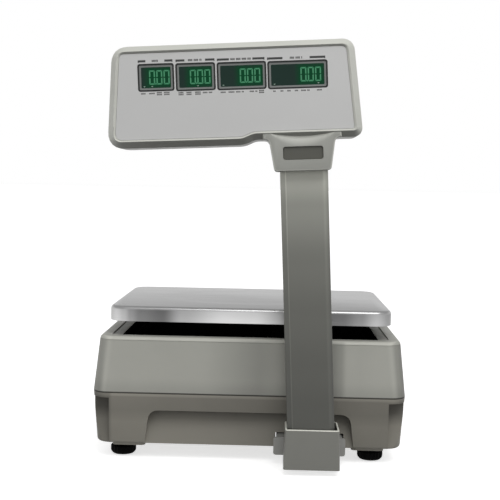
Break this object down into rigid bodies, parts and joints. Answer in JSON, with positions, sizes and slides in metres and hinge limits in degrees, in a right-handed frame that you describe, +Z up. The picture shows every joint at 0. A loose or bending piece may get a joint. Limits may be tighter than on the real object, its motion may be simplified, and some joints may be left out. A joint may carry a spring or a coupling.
{
  "type": "retail price scale",
  "caption": "Counter price-computing scale with a steel weighing platter, label printer console and a double-sided display head on a side pole.",
  "frame": {"origin": "on the table under the centre of the whole scale's box", "axes": "+Z up, +X to the right seen by the customer, +Y from the customer's side (pole) to the operator's side (console)"},
  "size_m": [0.392, 0.45, 0.5163],
  "materials": {
    "housing_plastic": "fine moulded texture, warm grey",
    "base_plastic": "fine moulded texture, darker warm grey",
    "head_plastic": "fine moulded texture, light warm grey",
    "panel_overlay": "satin printed film",
    "pole_paint": "satin powder coat",
    "bracket_paint": "satin powder coat",
    "stainless": "brushed stainless sheet",
    "aluminium": "machined",
    "steel": "zinc plated",
    "black_plastic": "moulded black",
    "rubber": "matt black",
    "dark_plastic": "moulded dark grey",
    "lcd_glass": "dark display with green backlight",
    "circuit_board": "solder mask green",
    "label_paper": "white thermal label stock",
    "vial_glass": "clear vial, tinted fluid",
    "keypad_film": "satin membrane film"
  },
  "bodies": {
    "base": {"upper_housing": "housing_plastic", "lower_base": "base_plastic", "pole_bracket": "bracket_paint", "pole_arm": "bracket_paint", "load_cell": "aluminium", "load_cell_pedestal": "aluminium", "power_supply": "aluminium", "load_cell_spacer": "steel", "arm_screw_left": "steel", "arm_screw_right": "steel", "column_pivot_screw": "steel", "door_hinge_pin": "steel", "printer_chassis": "steel", "tear_bar": "steel", "io_panel": "steel", "mains_inlet": "black_plastic", "rocker_bezel": "black_plastic", "platter_carrier": "black_plastic", "well_liner": "black_plastic", "bubble_level_body": "black_plastic", "pad_rear_left": "rubber", "pad_rear_right": "rubber", "pad_front_left": "rubber", "pad_front_right": "rubber", "print_head": "dark_plastic", "main_board": "circuit_board", "bubble_level_vial": "vial_glass", "keypad_membrane": "keypad_film"},
    "platter": {"platter": "stainless"},
    "foot_rear_left": {"foot_rear_left": "rubber"},
    "foot_rear_right": {"foot_rear_right": "rubber"},
    "foot_front_left": {"foot_front_left": "rubber"},
    "foot_front_right": {"foot_front_right": "rubber"},
    "door": {"printer_door": "housing_plastic"},
    "release_button": {"door_release_button": "dark_plastic"},
    "rocker": {"power_rocker": "black_plastic"},
    "label_roll": {"label_spindle": "black_plastic", "label_roll": "label_paper"},
    "backing_spool": {"backing_spool": "black_plastic"},
    "platen": {"platen_roller": "rubber"},
    "pole": {"column": "pole_paint", "column_clamp_screw": "steel", "display_cable": "black_plastic", "head_front_shell": "head_plastic", "head_rear_shell": "head_plastic", "customer_panel": "panel_overlay", "customer_neck_badge": "dark_plastic", "customer_display_board": "circuit_board", "operator_panel": "panel_overlay", "operator_neck_badge": "dark_plastic", "operator_display_board": "circuit_board", "customer_lcd_tare": "lcd_glass", "customer_lcd_weight": "lcd_glass", "customer_lcd_unit_price": "lcd_glass", "customer_lcd_total": "lcd_glass", "operator_lcd_tare": "lcd_glass", "operator_lcd_weight": "lcd_glass", "operator_lcd_unit_price": "lcd_glass", "operator_lcd_total": "lcd_glass"}
  },
  "joints": [
    {"name": "platter_lift", "type": "slide", "parent": "base", "child": "platter", "axis": [0, 0, 1], "range_m": [0, 0.12]},
    {"name": "pole_lean", "type": "hinge", "parent": "base", "child": "pole", "pos_m": [0.0779, -0.191, 0.022], "axis": [0, 1, 0], "range_deg": [0, 2.8]},
    {"name": "foot_rear_left_turn", "type": "hinge", "parent": "base", "child": "foot_rear_left", "pos_m": [-0.16, -0.1275, 0], "axis": [0, 0, 1], "continuous": true},
    {"name": "foot_rear_right_turn", "type": "hinge", "parent": "base", "child": "foot_rear_right", "pos_m": [0.1555, -0.1275, 0], "axis": [0, 0, 1], "continuous": true},
    {"name": "foot_front_left_turn", "type": "hinge", "parent": "base", "child": "foot_front_left", "pos_m": [-0.16, 0.19, 0], "axis": [0, 0, 1], "continuous": true},
    {"name": "foot_front_right_turn", "type": "hinge", "parent": "base", "child": "foot_front_right", "pos_m": [0.1555, 0.19, 0], "axis": [0, 0, 1], "continuous": true},
    {"name": "door_hinge", "type": "hinge", "parent": "base", "child": "door", "pos_m": [-0.14, 0.11745, 0.14702], "axis": [1, 0, 0], "range_deg": [0, 100]},
    {"name": "release_press", "type": "slide", "parent": "base", "child": "release_button", "axis": [0, -0.4408, -0.8976], "range_m": [0, 0.002], "stiffness_N_per_m": 300},
    {"name": "power_switch", "type": "hinge", "parent": "base", "child": "rocker", "pos_m": [0.184, 0.076, 0.053], "axis": [0, 1, 0], "range_deg": [-14, 0]},
    {"name": "label_roll_turn", "type": "hinge", "parent": "base", "child": "label_roll", "pos_m": [-0.14, 0.15, 0.084], "axis": [1, 0, 0], "continuous": true},
    {"name": "backing_spool_turn", "type": "hinge", "parent": "base", "child": "backing_spool", "pos_m": [-0.14, 0.196, 0.062], "axis": [1, 0, 0], "continuous": true},
    {"name": "platen_turn", "type": "hinge", "parent": "base", "child": "platen", "pos_m": [-0.14, 0.209, 0.091], "axis": [1, 0, 0], "continuous": true}
  ],
  "couplings": [
    {"joint": "platen_turn", "follows": "label_roll_turn", "ratio": 5.2308},
    {"joint": "backing_spool_turn", "follows": "label_roll_turn", "ratio": 2.8333}
  ]
}
